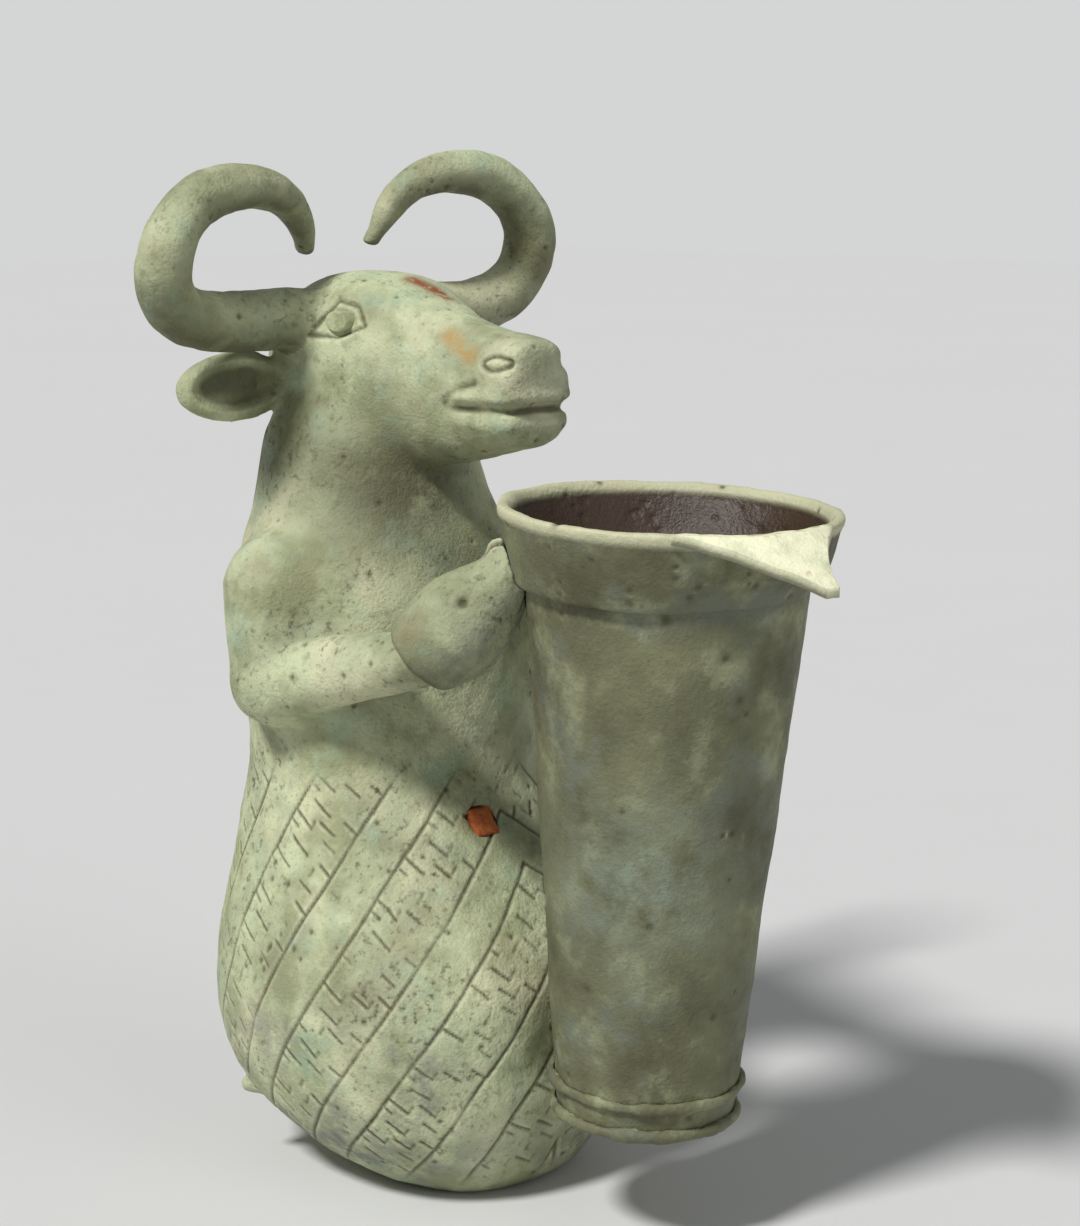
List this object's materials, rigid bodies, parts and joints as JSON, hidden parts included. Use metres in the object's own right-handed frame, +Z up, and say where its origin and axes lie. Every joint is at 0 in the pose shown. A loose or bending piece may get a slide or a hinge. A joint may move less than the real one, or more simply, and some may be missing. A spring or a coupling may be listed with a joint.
{
  "type": "rhyton drinking cup",
  "caption": "Kneeling robed bull that holds a tall flared beaker with a pouring lip between its front hooves; hollow copper-alloy drinking vessel.",
  "frame": {"origin": "middle of the flat standing face under the robe", "axes": "+Z up; the bull faces -Y and its right side is -X"},
  "size_m": [0.1065, 0.1495, 0.2014],
  "materials": {
    "patina_bronze": "chalky green patina",
    "cup_bronze": "darker green patina",
    "rubbed_bronze": "pale rubbed metal",
    "iron_core": "rust"
  },
  "bodies": {
    "root": {"robe_shell": "patina_bronze", "base_plate": "patina_bronze", "torso_shell": "patina_bronze", "head_shell": "patina_bronze", "right_horn": "patina_bronze", "left_horn": "patina_bronze", "right_ear": "patina_bronze", "left_ear": "patina_bronze", "right_eye_inlay": "patina_bronze", "left_eye_inlay": "patina_bronze", "right_arm": "patina_bronze", "left_arm": "patina_bronze", "right_hoof": "patina_bronze", "left_hoof": "patina_bronze", "right_hind_hoof": "patina_bronze", "left_hind_hoof": "patina_bronze", "cup_wall": "cup_bronze", "cup_rim_collar": "cup_bronze", "cup_spout": "rubbed_bronze", "cup_base": "cup_bronze", "foot_ring_upper": "cup_bronze", "foot_ring_lower": "cup_bronze", "chest_core_plug": "iron_core"}
  },
  "joints": []
}
